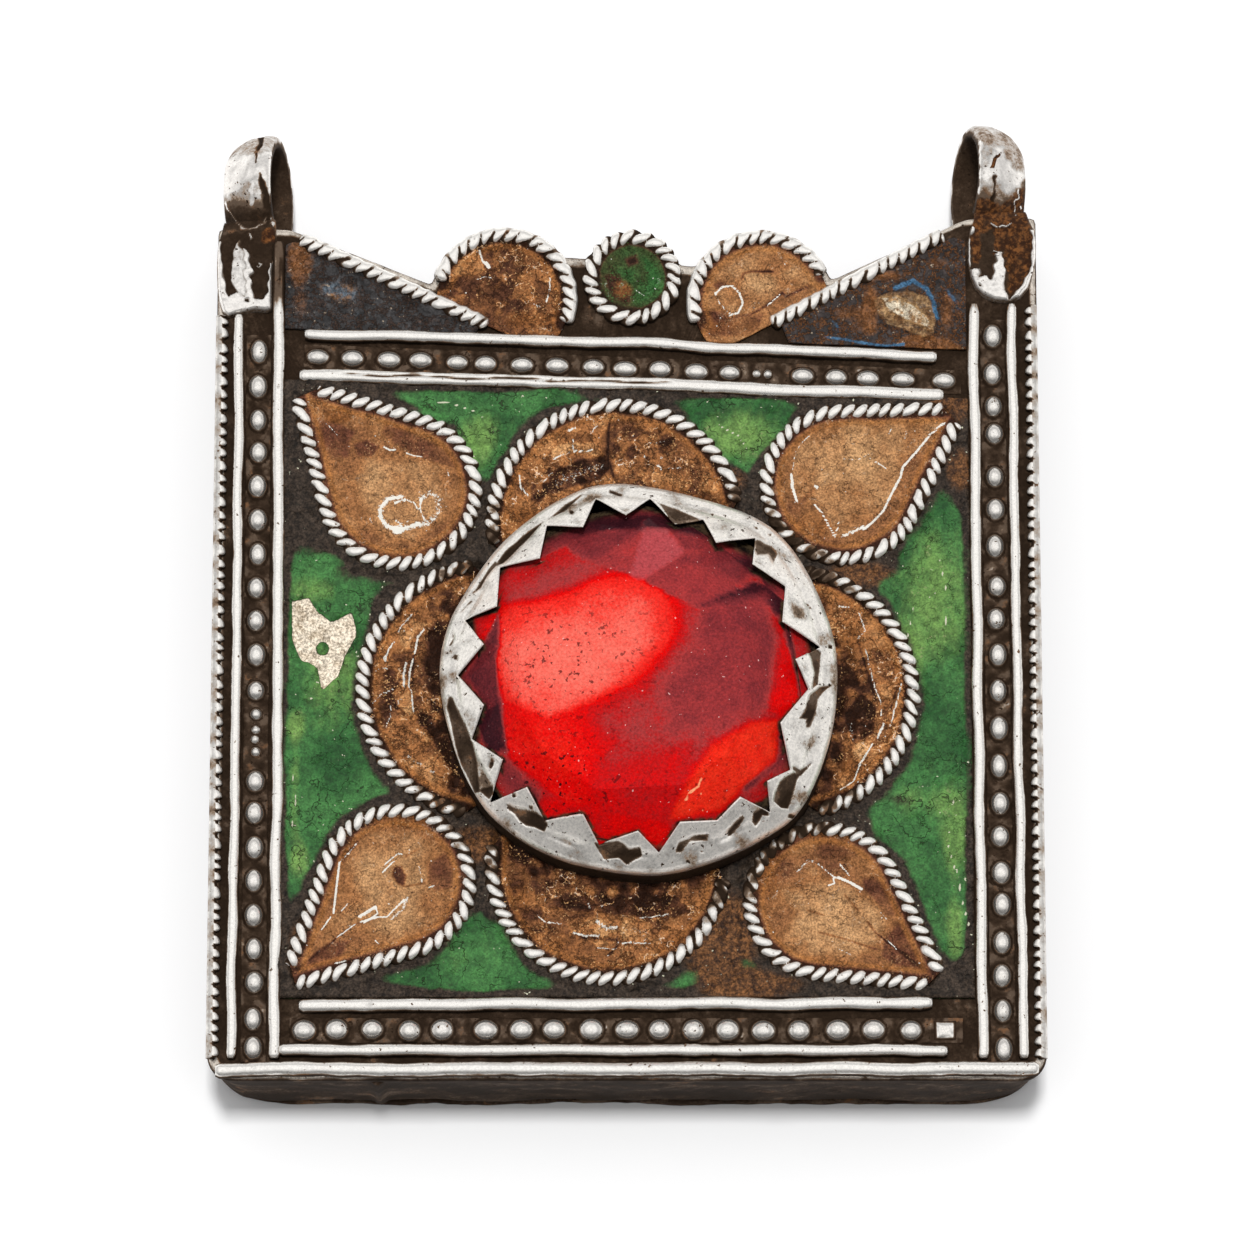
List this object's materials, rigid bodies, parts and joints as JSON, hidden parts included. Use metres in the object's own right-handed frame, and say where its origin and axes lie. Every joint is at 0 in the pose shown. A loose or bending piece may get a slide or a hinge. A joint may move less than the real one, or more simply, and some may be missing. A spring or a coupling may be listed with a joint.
{
  "type": "enamelled box pendant",
  "caption": "Square hollow silver pendant with a shaped crest, two strip bails, enamelled wire cells, beaded borders and a large red glass stone in a toothed bezel.",
  "frame": {"origin": "middle of the pendant's width and length, level with its flat back", "axes": "+X to the right across the face, +Y up towards the bails, +Z out of the face"},
  "size_m": [0.0518, 0.0626, 0.0156],
  "materials": {
    "case_silver": "dark, tarnished and dirty silver",
    "wire_silver": "worn bright on top, tarnished in the hollows",
    "beaded_silver": "worn bright on top, tarnished in the hollows",
    "bezel_silver": "worn, pitted silver",
    "bail_silver": "worn silver with brown tarnish in the grooves",
    "green_enamel": "crackled glossy enamel, darker along the wires",
    "amber_enamel": "glossy translucent enamel over silver",
    "brown_enamel": "glossy translucent enamel over silver",
    "blue_enamel": "dark worn enamel",
    "dark_enamel": "dark worn enamel with blue specks",
    "red_glass": "faceted, polished, foil backed"
  },
  "bodies": {
    "root": {"back_plate": "case_silver", "side_wall": "case_silver", "front_plate": "case_silver", "bottom_edge_wire": "wire_silver", "edge_rope_left": "wire_silver", "edge_rope_right": "wire_silver", "left_outer_wire": "wire_silver", "left_inner_wire": "wire_silver", "right_inner_wire": "wire_silver", "right_outer_wire": "wire_silver", "left_bead_row": "beaded_silver", "right_bead_row": "beaded_silver", "top_bead_row": "beaded_silver", "bottom_bead_row": "beaded_silver", "top_upper_wire": "wire_silver", "top_lower_wire": "wire_silver", "bottom_upper_wire": "wire_silver", "bottom_lower_wire": "wire_silver", "crest_rope_left": "wire_silver", "crest_rope_right": "wire_silver", "roundel_rope_left": "wire_silver", "roundel_rope_right": "wire_silver", "crest_ring_rope": "wire_silver", "tear_rope_upper_left": "wire_silver", "tear_rope_upper_right": "wire_silver", "tear_rope_lower_left": "wire_silver", "tear_rope_lower_right": "wire_silver", "lobe_rope_top": "wire_silver", "lobe_rope_left": "wire_silver", "lobe_rope_right": "wire_silver", "lobe_rope_bottom": "wire_silver", "tear_enamel_upper_left": "amber_enamel", "tear_enamel_upper_right": "amber_enamel", "tear_enamel_lower_left": "amber_enamel", "tear_enamel_lower_right": "amber_enamel", "lobe_enamel_top": "brown_enamel", "lobe_enamel_left": "brown_enamel", "lobe_enamel_right": "brown_enamel", "lobe_enamel_bottom": "brown_enamel", "roundel_enamel_left": "brown_enamel", "roundel_enamel_right": "brown_enamel", "crest_ring_enamel": "green_enamel", "corner_enamel_left": "blue_enamel", "corner_enamel_right": "dark_enamel", "ground_enamel_top": "green_enamel", "ground_enamel_left": "green_enamel", "ground_enamel_right": "green_enamel", "ground_enamel_bottom": "green_enamel", "bezel": "bezel_silver", "stone": "red_glass", "bail_left": "bail_silver", "bail_right": "bail_silver"}
  },
  "joints": []
}
